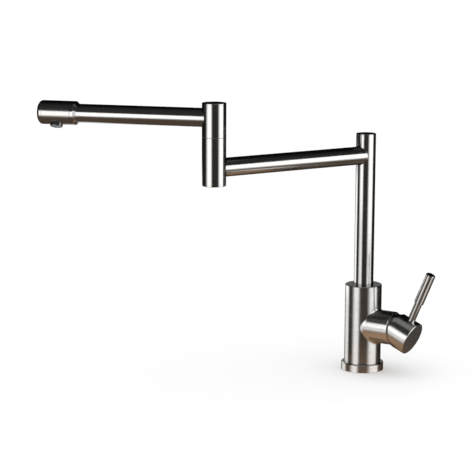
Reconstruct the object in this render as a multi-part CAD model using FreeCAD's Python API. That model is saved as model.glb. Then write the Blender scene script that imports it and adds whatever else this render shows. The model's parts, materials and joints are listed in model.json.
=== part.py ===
import FreeCAD, Part
import math
import os

# A deck-mounted single-lever kitchen tap with a folding, double-jointed swing spout.
#
# Millimetres and degrees. The origin is the centre of the underside of the base, on the deck.
# +Z is up and +X runs along the valve housing towards the handle. The tap is drawn with its
# spout half folded and its handle open.

# ---- Play between pieces ----
RUNNING_PLAY = 0.05  # radial play of a turning fit
SEAT_PLAY = 0.03  # radial play of a brazed, screwed or pressed seat
FREE_GAP = 0.3  # space between pieces that move past each other
END_PLAY = 0.2  # play along the axis of a piece held between two shoulders
THROUGH = 1.0  # how far a cutting tool runs past the face that it opens

# ---- Base flange ----
BASE_DIAMETER = 52.0
BASE_HEIGHT = 10.0
BASE_BEVEL = 0.8
GASKET_MARGIN = 1.5  # metal left on each side of the gasket's groove
GASKET_THICKNESS = 2.0
SPIGOT_DIAMETER = 38.0  # neck of the body inside the flange
FLANGE_SEAL_WIRE = 1.5

# ---- Body ----
BODY_DIAMETER = 45.0
BODY_HEIGHT = 97.0  # from the flange to the body's top
BODY_BEVEL = 0.5
BLOCK_DIAMETER = 32.0
BLOCK_HEIGHT = 26.0
INLET_DIAMETER = 9.0  # core of the M10 x 1 thread
INLET_DEPTH = 12.0
INLET_SPACING = 16.0
INLET_OFFSET = 4.0  # from the tap's axis towards the handle
STUD_DIAMETER = 6.8  # core of the M8 thread
STUD_DEPTH = 14.0
STUD_SPACING = 14.0
STUD_OFFSET = 8.0  # from the tap's axis away from the handle
PASSAGE_DIAMETER = 5.0
OUTLET_BORE = 14.0
FACE_SEAL_WALL = 1.3
FACE_SEAL_THICKNESS = 1.2

# ---- Valve housing and cartridge, along the housing's axis ----
HOUSING_DIAMETER = 41.0
HOUSING_RISE = 46.6  # from the flange to the housing's axis
HOUSING_REACH = 43.6  # from the tap's axis to the housing's end
HOUSING_BEVEL = 0.4
CARTRIDGE_DIAMETER = 30.6
CARTRIDGE_WALL = 1.8
CARTRIDGE_BASE = 3.4
CARTRIDGE_STEP = 0.8  # step in the sleeve's outside that the nut presses on
CARTRIDGE_STEP_LENGTH = 4.8
SLEEVE_LIP = 2.5  # how far the sleeve's lip reaches in over the carrier
SLEEVE_LIP_THICKNESS = 1.6
DISC_THICKNESS = 3.0
INLET_PORT_DROP = 4.0  # from the housing's axis down to the inlet ports
OUTLET_PORT_RISE = 7.0  # from the housing's axis up to the outlet port
MOVING_DISC_DIAMETER = 20.4
MOVING_DISC_POCKET = 13.0
MOVING_DISC_POCKET_DEPTH = 1.2
DRIVER_DIAMETER = 17.2
DRIVER_FLOOR = 1.5
NUT_WALL = 1.7

# ---- Stem, pivot and handle ----
PIVOT_BEYOND_HOUSING = 2.0
OPEN_ANGLE = 23.0  # the handle as drawn, tipped down from its closed place
PIVOT_PIN_DIAMETER = 3.0
STEM_WIDTH = 6.0
STEM_BALL_ARM = 11.0  # from the pivot to the stem's ball
STEM_BALL_DIAMETER = 5.8
STEM_NECK_DIAMETER = 4.4
STEM_NECK_LENGTH = 1.6
STEM_REACH = 22.4  # from the pivot to the stem's outer end
CARRIER_SHOULDER = 4.6  # from the pivot back to the carrier's shoulder
CARRIER_NOSE = 3.0  # from the pivot out to the carrier's face
SOCKET_PLAY = 0.25
HANDLE_DIAMETER = 41.5
HANDLE_WALL = 1.95
HANDLE_REACH = 25.6  # from the pivot to the handle's face
HANDLE_BEVEL = 0.6
RIM_GAP = 0.6  # from the pivot to both planes of the handle's rear rim
HUB_DIAMETER = 11.0
HUB_START = 11.5  # from the pivot to the hub's inner end
DOME_WALL = 1.3
DOME_OPENING = 28.0
GRUB_SCREW_DIAMETER = 3.0
GRUB_SCREW_LENGTH = 8.0
GRUB_SCREW_HEX = 1.5
GRUB_SCREW_HEX_DEPTH = 1.8
GRUB_SCREW_REACH = 20.6  # from the pivot to the grub screw's axis
PLUG_LENGTH = 2.5

# ---- Lever ----
LEVER_SETBACK = 11.1  # from the handle's face back to the lever's axis
LEVER_NECK_DIAMETER = 9.4
LEVER_NECK_TOP = 45.0  # from the handle's axis to the shoulder of the grip
LEVER_LENGTH = 84.8  # from the handle's axis to the lever's tip
LEVER_GRIP_DIAMETER = 11.8
LEVER_GRIP_BEVEL = 0.8
LEVER_SHOULDER_BEVEL = 0.5
LEVER_THREAD_DIAMETER = 5.0
LEVER_THREAD_LENGTH = 5.2
LEVER_SPIGOT_DIAMETER = 6.0
LEVER_SPIGOT_LENGTH = 14.0

# ---- Riser and the swivel in the body's top ----
RISER_DIAMETER = 24.0
RISER_WALL = 1.8
RISER_HEIGHT = 186.3  # from the body's top to the riser's top
RISER_CAP_THICKNESS = 1.5
CAP_SPIGOT_LENGTH = 4.0
CAP_BEVEL = 0.3
SEAL_SECTION = 3.0  # space between a journal and its bore, filled by bushes and seals
SEAL_SPACER = 2.0
RISER_STACK_LENGTH = 19.0
COLLAR_THICKNESS = 3.2
COLLAR_WIDTH = 2.5
TOP_RING_HEIGHT = 4.0
TOP_RING_LEDGE = 2.0

# ---- Lower arm and knuckle ----
ARM_DIAMETER = 22.0
ARM_WALL = 1.5
LOWER_ARM_DROP = 26.5  # from the riser's top to the lower arm's axis
LOWER_ARM_LENGTH = 218.8  # from the riser's axis to the knuckle's axis
LOWER_ARM_AZIMUTH = 246.75
KNUCKLE_DIAMETER = 28.0
KNUCKLE_WALL = 3.0
KNUCKLE_CAP_THICKNESS = 2.3
KNUCKLE_BEVEL = 0.5
KNUCKLE_FOOT_DROP = 20.5  # from the lower arm's axis to the knuckle's underside
KNUCKLE_SEAM_RISE = 35.6  # from the lower arm's axis to the seam
KNUCKLE_SEAM_GAP = 0.4
KNUCKLE_STACK_LENGTH = 22.0
KNUCKLE_LIP = 2.4
SPINDLE_WALL = 2.0
SPINDLE_SEAT_LENGTH = 10.0
SPINDLE_TAIL = 1.0  # spindle left beyond the circlip
WASHER_THICKNESS = 1.0
WASHER_MARGIN = 1.4
CIRCLIP_THICKNESS = 1.2
CIRCLIP_GROOVE_DEPTH = 0.9
CIRCLIP_WIDTH = 2.6
LIP_CLEARANCE = 0.4

# ---- Upper arm and spout head, along the upper arm's axis ----
UPPER_ARM_RISE = 22.2  # from the seam to the upper arm's axis
KNUCKLE_TOP_RISE = 17.3  # from the upper arm's axis to the knuckle's top
UPPER_ARM_AZIMUTH = 198.15
UPPER_ARM_REACH = 212.0  # from the knuckle's axis to the end of the head
HEAD_DIAMETER = 28.0
HEAD_WALL = 2.5
HEAD_LENGTH = 41.1
HEAD_SEAM_GAP = 0.5
HEAD_END_ROUND = 4.5
HEAD_END_THICKNESS = 6.0
HEAD_STACK_LENGTH = 10.0
HEAD_STACK_WALL = 2.0
HEAD_LIP = 1.4
ARM_COLLAR_LENGTH = 3.5  # the collar's plain part, without its bevel
ARM_SEAT_DEPTH = 1.4  # wall between the arm's end and the collar's face
JOURNAL_WALL = 1.5

# ---- Outlet ----
OUTLET_SETBACK = 22.3  # from the end of the head to the outlet's axis
OUTLET_DIAMETER = 14.6
OUTLET_WALL = 1.4
OUTLET_LEDGE = 1.0
OUTLET_DROP = 3.0  # how far the outlet stands out of the head
OUTLET_BEVEL = 0.3
OUTLET_TURN = 20.0  # the outlet as drawn, turned about the arm from straight down
OUTLET_SHOULDER = 1.2
AERATOR_GASKET = 1.1
AERATOR_SCREEN = 0.6
AERATOR_PLATE = 0.8
AERATOR_RECESS = 0.4
AERATOR_WALL = 0.9
AERATOR_HOLE = 1.5
AERATOR_HOLE_CIRCLES = ((0.0, 1), (2.7, 6))  # radius of a circle of holes, and how many it holds

UP = FreeCAD.Vector(0, 0, 1)
ACROSS = FreeCAD.Vector(0, 1, 0)
OUTWARD = FreeCAD.Vector(1, 0, 0)


class Axis:
    """A line in space that round pieces are turned about."""

    def __init__(self, point, direction):
        self.point = point
        self.direction = direction

    def at(self, distance):
        return self.point + self.direction * distance

    def beside(self, offset):
        return Axis(self.point + offset, self.direction)

    def rod(self, radius, start, end):
        return Part.makeCylinder(radius, end - start, self.at(start), self.direction)

    def tube(self, outer, inner, start, end):
        return self.rod(outer, start, end).cut(self.rod(inner, start - THROUGH, end + THROUGH))

    def cone(self, start_radius, end_radius, start, end):
        return Part.makeCone(start_radius, end_radius, end - start, self.at(start), self.direction)

    def ball(self, radius, distance):
        return Part.makeSphere(radius, self.at(distance))

    def o_ring(self, inner, outer, start, end):
        wire_radius = min(outer - inner, end - start) / 2
        middle = self.at((start + end) / 2)
        return Part.makeTorus((outer + inner) / 2, wire_radius, middle, self.direction)


def rims(shape, axis, distance, radius):
    """The circular edges of a shape at one distance along an axis and with one radius."""
    found = []
    for edge in shape.Edges:
        curve = edge.Curve
        if not isinstance(curve, Part.Circle):
            continue
        centred = curve.Center.isEqual(axis.at(distance), 1e-4)
        if centred and abs(curve.Radius - radius) < 1e-4:
            found.append(edge)
    return found


def prism(corners, sweep):
    """A straight prism on a flat outline."""
    outline = Part.makePolygon(corners + corners[:1])
    return Part.Face(outline).extrude(sweep)


def square_bar(axis, up, width, start, end):
    """A square bar along an axis, with two of its sides across the given up direction."""
    half = width / 2
    corners = []
    for across_sign, up_sign in ((-1, -1), (1, -1), (1, 1), (-1, 1)):
        corners.append(axis.at(start) + ACROSS * (across_sign * half) + up * (up_sign * half))
    return prism(corners, axis.direction * (end - start))


def level_direction(azimuth):
    angle = math.radians(azimuth)
    return FreeCAD.Vector(math.cos(angle), math.sin(angle), 0)


def swivel_stack(axis, journal, bore, start, end, seal_count):
    """Bush, seals with spacers between them, and bush, filling the space round a journal."""
    outer = bore - SEAT_PLAY
    inner = journal + RUNNING_PLAY
    seal_space = bore - journal
    packing = seal_count * seal_space + (seal_count - 1) * SEAL_SPACER
    bush_length = (end - start - packing) / 2
    seals = []
    spacers = []
    place = start + bush_length
    for index in range(seal_count):
        seals.append(axis.o_ring(inner, outer, place, place + seal_space))
        place += seal_space
        if index < seal_count - 1:
            spacers.append(axis.tube(outer, inner, place, place + SEAL_SPACER))
            place += SEAL_SPACER
    first_bush = axis.tube(outer, inner, start, start + bush_length)
    last_bush = axis.tube(outer, inner, end - bush_length, end)
    return first_bush, last_bush, seals, spacers


def split_ring(axis, inner, outer, start, end, towards):
    """A circlip: a flat ring with a gap on the side that it is opened at."""
    ring = axis.tube(outer, inner, start, end)
    side = axis.direction.cross(towards)
    half_gap = CIRCLIP_WIDTH / 2
    corners = [
        axis.at(start - THROUGH) - side * half_gap,
        axis.at(start - THROUGH) + side * half_gap,
        axis.at(start - THROUGH) + side * half_gap + towards * 2 * outer,
        axis.at(start - THROUGH) - side * half_gap + towards * 2 * outer,
    ]
    return ring.cut(prism(corners, axis.direction * (end - start + 2 * THROUGH)))


def round_cap(axis, radius, bore, inner_face, outer_face, bevel):
    """A disc that closes a tube, with a spigot inside the tube's bore."""
    side = 1 if outer_face > inner_face else -1
    low, high = sorted((inner_face, outer_face))
    disc = axis.rod(radius, low, high)
    disc = disc.makeChamfer(bevel, rims(disc, axis, outer_face, radius))
    low, high = sorted((inner_face - side * CAP_SPIGOT_LENGTH, inner_face))
    return disc.fuse(axis.rod(bore - SEAT_PLAY, low, high)).removeSplitter()


# ---- Places worked out from the sizes above ----
body_top = BASE_HEIGHT + BODY_HEIGHT
housing_height = BASE_HEIGHT + HOUSING_RISE
riser_top = body_top + RISER_HEIGHT
lower_arm_height = riser_top - LOWER_ARM_DROP
knuckle_foot = lower_arm_height - KNUCKLE_FOOT_DROP
knuckle_seam = lower_arm_height + KNUCKLE_SEAM_RISE
upper_arm_height = knuckle_seam + UPPER_ARM_RISE
knuckle_top = upper_arm_height + KNUCKLE_TOP_RISE
pivot_reach = HOUSING_REACH + PIVOT_BEYOND_HOUSING

base_radius = BASE_DIAMETER / 2
body_radius = BODY_DIAMETER / 2
spigot_radius = SPIGOT_DIAMETER / 2
block_radius = BLOCK_DIAMETER / 2
passage_radius = PASSAGE_DIAMETER / 2
riser_radius = RISER_DIAMETER / 2
riser_bore = riser_radius - RISER_WALL
arm_radius = ARM_DIAMETER / 2
arm_bore = arm_radius - ARM_WALL
knuckle_radius = KNUCKLE_DIAMETER / 2
knuckle_bore = knuckle_radius - KNUCKLE_WALL
head_radius = HEAD_DIAMETER / 2
handle_radius = HANDLE_DIAMETER / 2
cavity_radius = handle_radius - HANDLE_WALL
dome_radius = cavity_radius - FREE_GAP
sleeve_radius = CARTRIDGE_DIAMETER / 2
sleeve_bore = sleeve_radius - CARTRIDGE_WALL
sleeve_neck = sleeve_radius - CARTRIDGE_STEP
nut_radius = sleeve_radius + NUT_WALL
stem_angle = math.radians(OPEN_ANGLE)

# The cartridge is stacked back from the pivot, so the stem always reaches its driver.
ball_radius = STEM_BALL_DIAMETER / 2
disc_travel = STEM_BALL_ARM * math.sin(stem_angle)
driver_start = pivot_reach - STEM_BALL_ARM - ball_radius - SOCKET_PLAY - DRIVER_FLOOR
driver_end = pivot_reach - STEM_BALL_ARM * math.cos(stem_angle) + SOCKET_PLAY / 2
moving_disc_start = driver_start - DISC_THICKNESS
fixed_disc_start = moving_disc_start - DISC_THICKNESS
cartridge_seat = fixed_disc_start - CARTRIDGE_BASE
carrier_shoulder = pivot_reach - CARRIER_SHOULDER
sleeve_end = carrier_shoulder + END_PLAY + SLEEVE_LIP_THICKNESS
nut_seat = sleeve_end - CARTRIDGE_STEP_LENGTH

# The swivel in the body's top, from the ring nut down.
top_ring_seat = body_top - TOP_RING_HEIGHT
riser_stack_end = top_ring_seat - COLLAR_THICKNESS - 2 * END_PLAY
riser_stack_start = riser_stack_end - RISER_STACK_LENGTH
riser_stack_bore = riser_radius + SEAL_SECTION
top_ring_radius = riser_stack_bore + TOP_RING_LEDGE

tap_axis = Axis(FreeCAD.Vector(0, 0, 0), UP)
housing_axis = Axis(UP * housing_height, OUTWARD)
pivot = housing_axis.at(pivot_reach)
handle_axis = Axis(pivot, FreeCAD.Vector(math.cos(stem_angle), 0, -math.sin(stem_angle)))
lever_up = FreeCAD.Vector(math.sin(stem_angle), 0, math.cos(stem_angle))
lever_axis = Axis(handle_axis.at(HANDLE_REACH - LEVER_SETBACK), lever_up)
lower_arm_axis = Axis(UP * lower_arm_height, level_direction(LOWER_ARM_AZIMUTH))
knuckle_axis = Axis(lower_arm_axis.direction * LOWER_ARM_LENGTH, UP)
upper_arm_axis = Axis(knuckle_axis.at(upper_arm_height), level_direction(UPPER_ARM_AZIMUTH))
arm_side = UP.cross(upper_arm_axis.direction)
outlet_turn = math.radians(OUTLET_TURN)
outlet_direction = arm_side * math.sin(outlet_turn) - UP * math.cos(outlet_turn)
outlet_axis = Axis(upper_arm_axis.at(UPPER_ARM_REACH - OUTLET_SETBACK), outlet_direction)

# The ports of the cartridge, as offsets from the housing's axis: two inlets and the outlet.
inlet_ports = [
    ACROSS * (side * INLET_SPACING / 2) - UP * INLET_PORT_DROP
    for side in (-1, 1)
]
outlet_port = UP * OUTLET_PORT_RISE
all_ports = inlet_ports + [outlet_port]


def face_seals(axis, offsets, start, end):
    """Flat seal rings round a set of passages."""
    inner = passage_radius + SEAT_PLAY
    outer = passage_radius + FACE_SEAL_WALL
    return [axis.beside(offset).tube(outer, inner, start, end) for offset in offsets]


def cut_ports(shape, axis, offsets, start, end):
    """Passages through a shape, each with a pocket for a seal at its start."""
    pocket_radius = passage_radius + FACE_SEAL_WALL + SEAT_PLAY
    for offset in offsets:
        port = axis.beside(offset)
        shape = shape.cut(port.rod(passage_radius, start - THROUGH, end + THROUGH))
        shape = shape.cut(port.rod(pocket_radius, start - THROUGH, start + FACE_SEAL_THICKNESS))
    return shape


def base_pieces():
    """Flange, its gasket and seal, and the block that holds the inlets and the studs."""
    gasket_outer = base_radius - GASKET_MARGIN
    gasket_inner = spigot_radius + GASKET_MARGIN
    flange = tap_axis.tube(base_radius, spigot_radius + SEAT_PLAY, 0, BASE_HEIGHT)
    flange = flange.makeChamfer(BASE_BEVEL, rims(flange, tap_axis, BASE_HEIGHT, base_radius))
    groove = tap_axis.tube(gasket_outer, gasket_inner, -THROUGH, GASKET_THICKNESS)
    gasket = tap_axis.tube(
        gasket_outer - SEAT_PLAY, gasket_inner + SEAT_PLAY, 0, GASKET_THICKNESS
    )
    seal_start = (BASE_HEIGHT - FLANGE_SEAL_WIRE) / 2
    seal = tap_axis.o_ring(
        spigot_radius - FLANGE_SEAL_WIRE, spigot_radius, seal_start, seal_start + FLANGE_SEAL_WIRE
    )
    inlets = [
        OUTWARD * INLET_OFFSET + ACROSS * (side * INLET_SPACING / 2) for side in (-1, 1)
    ]
    studs = [
        ACROSS * (side * STUD_SPACING / 2) - OUTWARD * STUD_OFFSET for side in (-1, 1)
    ]
    block = tap_axis.rod(block_radius - SEAT_PLAY, 0, BLOCK_HEIGHT)
    pocket_radius = passage_radius + FACE_SEAL_WALL + SEAT_PLAY
    seal_floor = BLOCK_HEIGHT - FACE_SEAL_THICKNESS
    for offset in inlets:
        inlet = tap_axis.beside(offset)
        block = block.cut(inlet.rod(INLET_DIAMETER / 2, -THROUGH, INLET_DEPTH))
        block = block.cut(inlet.rod(passage_radius, 0, BLOCK_HEIGHT + THROUGH))
        block = block.cut(inlet.rod(pocket_radius, seal_floor, BLOCK_HEIGHT + THROUGH))
    for offset in studs:
        block = block.cut(tap_axis.beside(offset).rod(STUD_DIAMETER / 2, -THROUGH, STUD_DEPTH))
    return {
        "base_flange": flange.cut(groove),
        "base_gasket": gasket,
        "flange_o_ring": seal,
        "mixer_block": block,
        "block_seals": Part.makeCompound(face_seals(tap_axis, inlets, seal_floor, BLOCK_HEIGHT)),
    }


def body_shell():
    """The round body with its side housing, and the bores and drillings inside it."""
    shell = tap_axis.rod(body_radius, BASE_HEIGHT, body_top)
    shell = shell.makeChamfer(BODY_BEVEL, rims(shell, tap_axis, body_top, body_radius))
    housing = housing_axis.rod(HOUSING_DIAMETER / 2, 0, HOUSING_REACH)
    housing = housing.makeChamfer(
        HOUSING_BEVEL, rims(housing, housing_axis, HOUSING_REACH, HOUSING_DIAMETER / 2)
    )
    shell = shell.fuse([housing, tap_axis.rod(spigot_radius, 0, BASE_HEIGHT)]).removeSplitter()

    seal_start = (BASE_HEIGHT - FLANGE_SEAL_WIRE) / 2 - SEAT_PLAY
    seal_groove = tap_axis.tube(
        spigot_radius + THROUGH,
        spigot_radius - FLANGE_SEAL_WIRE - SEAT_PLAY,
        seal_start,
        seal_start + FLANGE_SEAL_WIRE + 2 * SEAT_PLAY,
    )
    outlet_height = housing_height + OUTLET_PORT_RISE
    cuts = [
        seal_groove,
        tap_axis.rod(block_radius, -THROUGH, BLOCK_HEIGHT),
        housing_axis.rod(sleeve_radius + SEAT_PLAY, cartridge_seat, HOUSING_REACH + THROUGH),
        housing_axis.rod(nut_radius + SEAT_PLAY, nut_seat, HOUSING_REACH + THROUGH),
        tap_axis.rod(OUTLET_BORE / 2, outlet_height - passage_radius, riser_stack_start),
        tap_axis.rod(riser_stack_bore, riser_stack_start, body_top),
        tap_axis.rod(top_ring_radius + SEAT_PLAY, top_ring_seat, body_top + THROUGH),
        housing_axis.beside(outlet_port).rod(passage_radius, 0, cartridge_seat + THROUGH),
    ]
    for offset in inlet_ports:
        side_drilling = housing_axis.beside(offset)
        corner = side_drilling.at(INLET_OFFSET)
        rise = corner.z - BLOCK_HEIGHT
        cuts.append(Part.makeCylinder(passage_radius, rise + THROUGH, corner, -UP))
        cuts.append(side_drilling.ball(passage_radius, INLET_OFFSET))
        cuts.append(side_drilling.rod(passage_radius, INLET_OFFSET, cartridge_seat + THROUGH))
    return {"body_shell": shell.cut(cuts)}


def fixed_cartridge_pieces():
    """The half of the cartridge that stays still, its nut and the cover over them."""
    base_end = cartridge_seat + CARTRIDGE_BASE
    disc_side_seals = base_end - FACE_SEAL_THICKNESS
    base = housing_axis.rod(sleeve_radius, cartridge_seat, base_end)
    base = cut_ports(base, housing_axis, all_ports, cartridge_seat, base_end)
    pocket_radius = passage_radius + FACE_SEAL_WALL + SEAT_PLAY
    for offset in all_ports:
        pocket = housing_axis.beside(offset)
        base = base.cut(pocket.rod(pocket_radius, disc_side_seals, base_end + THROUGH))

    fixed_disc = housing_axis.rod(sleeve_bore - SEAT_PLAY, fixed_disc_start, moving_disc_start)
    for offset in all_ports:
        port = housing_axis.beside(offset)
        fixed_disc = fixed_disc.cut(
            port.rod(passage_radius, fixed_disc_start - THROUGH, moving_disc_start + THROUGH)
        )

    lip_start = sleeve_end - SLEEVE_LIP_THICKNESS
    sleeve = housing_axis.rod(sleeve_radius, base_end, nut_seat)
    sleeve = sleeve.fuse(housing_axis.rod(sleeve_neck, nut_seat, sleeve_end))
    sleeve = sleeve.cut([
        housing_axis.rod(sleeve_bore, base_end - THROUGH, lip_start),
        housing_axis.rod(sleeve_bore - SLEEVE_LIP, base_end, sleeve_end + THROUGH),
    ])

    collar_radius = dome_radius - DOME_WALL - FREE_GAP
    nut = housing_axis.rod(nut_radius, nut_seat, HOUSING_REACH)
    nut = nut.fuse(housing_axis.rod(collar_radius, HOUSING_REACH, pivot_reach))
    nut = nut.cut(
        housing_axis.rod(sleeve_neck + SEAT_PLAY, nut_seat - THROUGH, pivot_reach + THROUGH)
    )

    dome = housing_axis.ball(dome_radius, pivot_reach)
    dome = dome.cut([
        housing_axis.ball(dome_radius - DOME_WALL, pivot_reach),
        housing_axis.rod(2 * dome_radius, HOUSING_REACH - 2 * dome_radius, HOUSING_REACH),
        housing_axis.rod(DOME_OPENING / 2, pivot_reach, pivot_reach + 2 * dome_radius),
    ])
    seat_side_end = cartridge_seat + FACE_SEAL_THICKNESS
    port_seals = face_seals(housing_axis, all_ports, cartridge_seat, seat_side_end)
    disc_seals = face_seals(housing_axis, all_ports, disc_side_seals, base_end)
    return {
        "port_seals": Part.makeCompound(port_seals),
        "cartridge_base": base,
        "disc_seals": Part.makeCompound(disc_seals),
        "fixed_disc": fixed_disc,
        "cartridge_sleeve": sleeve.removeSplitter(),
        "bonnet_nut": nut.removeSplitter(),
        "dome_cover": dome,
    }


def carrier_pieces():
    """The part of the cartridge that turns with the lever, and the pin that the stem tilts on."""
    neck = sleeve_bore - SLEEVE_LIP - RUNNING_PLAY
    start = driver_end + FREE_GAP
    end = pivot_reach + CARRIER_NOSE
    carrier = housing_axis.rod(sleeve_bore - RUNNING_PLAY, start, carrier_shoulder)
    carrier = carrier.fuse(housing_axis.rod(neck, carrier_shoulder, end)).removeSplitter()

    # The slot is open wide enough for the stem from closed, along the axis, to fully open.
    half = STEM_WIDTH / 2 + FREE_GAP
    slope = math.tan(stem_angle)
    slant = half / math.cos(stem_angle)
    waist = half * math.tan(stem_angle / 2)
    front = end - pivot_reach + THROUGH
    back = pivot_reach - start + THROUGH
    outline = [
        (front, half),
        (waist, half),
        (-back, slope * back + slant),
        (-back, -half),
        (-waist, -half),
        (front, -slope * front - slant),
    ]
    corners = [pivot + OUTWARD * along + UP * rise - ACROSS * half for along, rise in outline]
    carrier = carrier.cut(prism(corners, ACROSS * (2 * half)))

    pin_radius = PIVOT_PIN_DIAMETER / 2
    pin_half = neck - pin_radius / 2
    pin_axis = Axis(pivot, ACROSS)
    carrier = carrier.cut(pin_axis.rod(pin_radius + SEAT_PLAY, -sleeve_radius, sleeve_radius))
    return {
        "carrier": carrier,
        "pivot_pin": pin_axis.rod(pin_radius, -pin_half, pin_half),
    }


def disc_pieces():
    """The ceramic disc that slides over the ports, and the driver that the stem's ball moves."""
    centre = housing_axis.beside(UP * (disc_travel / 2))
    socket = housing_axis.beside(UP * disc_travel)
    disc = centre.rod(MOVING_DISC_DIAMETER / 2, moving_disc_start, driver_start)
    pocket_end = moving_disc_start + MOVING_DISC_POCKET_DEPTH
    disc = disc.cut(centre.rod(MOVING_DISC_POCKET / 2, moving_disc_start - THROUGH, pocket_end))
    driver = centre.rod(DRIVER_DIAMETER / 2, driver_start, driver_end)
    driver = driver.cut(
        socket.rod(ball_radius + SOCKET_PLAY, driver_start + DRIVER_FLOOR, driver_end + THROUGH)
    )
    return {"moving_disc": disc, "disc_driver": driver}


def handle_pieces():
    """Stem, cap, its fixing screw and plug, and the two pieces of the lever."""
    stem = square_bar(
        handle_axis, lever_up, STEM_WIDTH, STEM_NECK_LENGTH - STEM_BALL_ARM, STEM_REACH
    )
    stem = stem.fuse([
        handle_axis.ball(ball_radius, -STEM_BALL_ARM),
        handle_axis.rod(STEM_NECK_DIAMETER / 2, -STEM_BALL_ARM, STEM_NECK_LENGTH - STEM_BALL_ARM),
    ])
    bearing = Axis(pivot, ACROSS)
    stem = stem.cut(
        bearing.rod(PIVOT_PIN_DIAMETER / 2 + RUNNING_PLAY, -STEM_WIDTH, STEM_WIDTH)
    )

    # The rim is cut square to the handle above the pivot, and upright below it.
    cap = handle_axis.rod(handle_radius, RIM_GAP, HANDLE_REACH)
    cap = cap.makeChamfer(HANDLE_BEVEL, rims(cap, handle_axis, HANDLE_REACH, handle_radius))
    clear = 2 * handle_radius
    behind = housing_axis.rod(2 * clear, pivot_reach - 2 * clear, pivot_reach + RIM_GAP)
    cap = cap.cut([behind, handle_axis.ball(cavity_radius, 0)])
    hub = handle_axis.rod(HUB_DIAMETER / 2, HUB_START, cavity_radius + THROUGH)
    cap = cap.fuse(hub).removeSplitter()
    socket_width = STEM_WIDTH + 2 * SEAT_PLAY
    cap = cap.cut(
        square_bar(handle_axis, lever_up, socket_width, HUB_START - THROUGH, STEM_REACH + END_PLAY)
    )

    screw_axis = Axis(handle_axis.at(GRUB_SCREW_REACH), -lever_up)
    screw_radius = GRUB_SCREW_DIAMETER / 2
    screw_start = STEM_WIDTH / 2
    screw_end = screw_start + GRUB_SCREW_LENGTH
    screw = screw_axis.rod(screw_radius, screw_start, screw_end)
    screw = screw.cut(
        screw_axis.rod(GRUB_SCREW_HEX / 2, screw_end - GRUB_SCREW_HEX_DEPTH, screw_end + THROUGH)
    )
    plug = screw_axis.rod(screw_radius, handle_radius - PLUG_LENGTH, handle_radius + THROUGH)
    plug = plug.common(handle_axis.rod(handle_radius, 0, HANDLE_REACH))
    cap = cap.cut(screw_axis.rod(screw_radius + SEAT_PLAY, 0, handle_radius + THROUGH))

    neck_radius = LEVER_NECK_DIAMETER / 2
    thread_radius = LEVER_THREAD_DIAMETER / 2
    thread_start = handle_radius - LEVER_THREAD_LENGTH
    spigot_end = LEVER_NECK_TOP + LEVER_SPIGOT_LENGTH
    rod = lever_axis.rod(neck_radius, thread_start, LEVER_NECK_TOP)
    rod = rod.cut(handle_axis.rod(handle_radius + SEAT_PLAY, 0, HANDLE_REACH + THROUGH))
    rod = rod.fuse([
        lever_axis.rod(thread_radius, thread_start, LEVER_NECK_TOP),
        lever_axis.rod(LEVER_SPIGOT_DIAMETER / 2, LEVER_NECK_TOP, spigot_end),
    ]).removeSplitter()
    thread_hole = lever_axis.rod(
        thread_radius + SEAT_PLAY, thread_start - END_PLAY, handle_radius + THROUGH
    )

    grip_radius = LEVER_GRIP_DIAMETER / 2
    grip = lever_axis.rod(grip_radius, LEVER_NECK_TOP, LEVER_LENGTH)
    grip = grip.makeChamfer(
        LEVER_GRIP_BEVEL, rims(grip, lever_axis, LEVER_LENGTH, grip_radius)
    )
    grip = grip.makeChamfer(
        LEVER_SHOULDER_BEVEL, rims(grip, lever_axis, LEVER_NECK_TOP, grip_radius)
    )
    grip = grip.cut(
        lever_axis.rod(
            LEVER_SPIGOT_DIAMETER / 2 + SEAT_PLAY, LEVER_NECK_TOP - THROUGH, spigot_end + END_PLAY
        )
    )
    return {
        "stem": stem.removeSplitter(),
        "handle_cap": cap.cut(thread_hole),
        "handle_grub_screw": screw,
        "screw_plug": plug,
        "lever_rod": rod,
        "lever_grip": grip,
    }


def base_swivel_pieces():
    """Bearing and seals of the riser in the body's top, and the ring that closes them in."""
    lower, upper, seals, spacers = swivel_stack(
        tap_axis, riser_radius, riser_stack_bore, riser_stack_start, riser_stack_end, 2
    )
    ring = tap_axis.tube(top_ring_radius, riser_radius + FREE_GAP, top_ring_seat, body_top)
    return {
        "riser_bush_lower": lower,
        "riser_bush_upper": upper,
        "riser_o_rings": Part.makeCompound(seals),
        "riser_spacer": Part.makeCompound(spacers),
        "body_top_ring": ring,
    }


def riser_pieces():
    """Riser with its collar and cap, and the lower arm that is brazed to its side."""
    tube_start = riser_stack_start + END_PLAY
    tube_end = riser_top - RISER_CAP_THICKNESS
    riser = tap_axis.tube(riser_radius, riser_bore, tube_start, tube_end)
    riser = riser.cut(lower_arm_axis.rod(arm_bore, 0, riser_radius + THROUGH))
    collar_start = riser_stack_end + END_PLAY
    collar = tap_axis.tube(
        riser_radius + COLLAR_WIDTH,
        riser_radius + SEAT_PLAY,
        collar_start,
        collar_start + COLLAR_THICKNESS,
    )
    arm = lower_arm_axis.tube(arm_radius, arm_bore, 0, LOWER_ARM_LENGTH)
    low = lower_arm_height - 2 * arm_radius
    high = lower_arm_height + 2 * arm_radius
    arm = arm.cut([
        tap_axis.rod(riser_radius + SEAT_PLAY, low, high),
        knuckle_axis.rod(knuckle_radius + SEAT_PLAY, low, high),
    ])
    return {
        "riser_tube": riser,
        "riser_top_cap": round_cap(
            tap_axis, riser_radius, riser_bore, tube_end, riser_top, CAP_BEVEL
        ),
        "riser_collar": collar,
        "lower_arm_tube": arm,
    }


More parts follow.
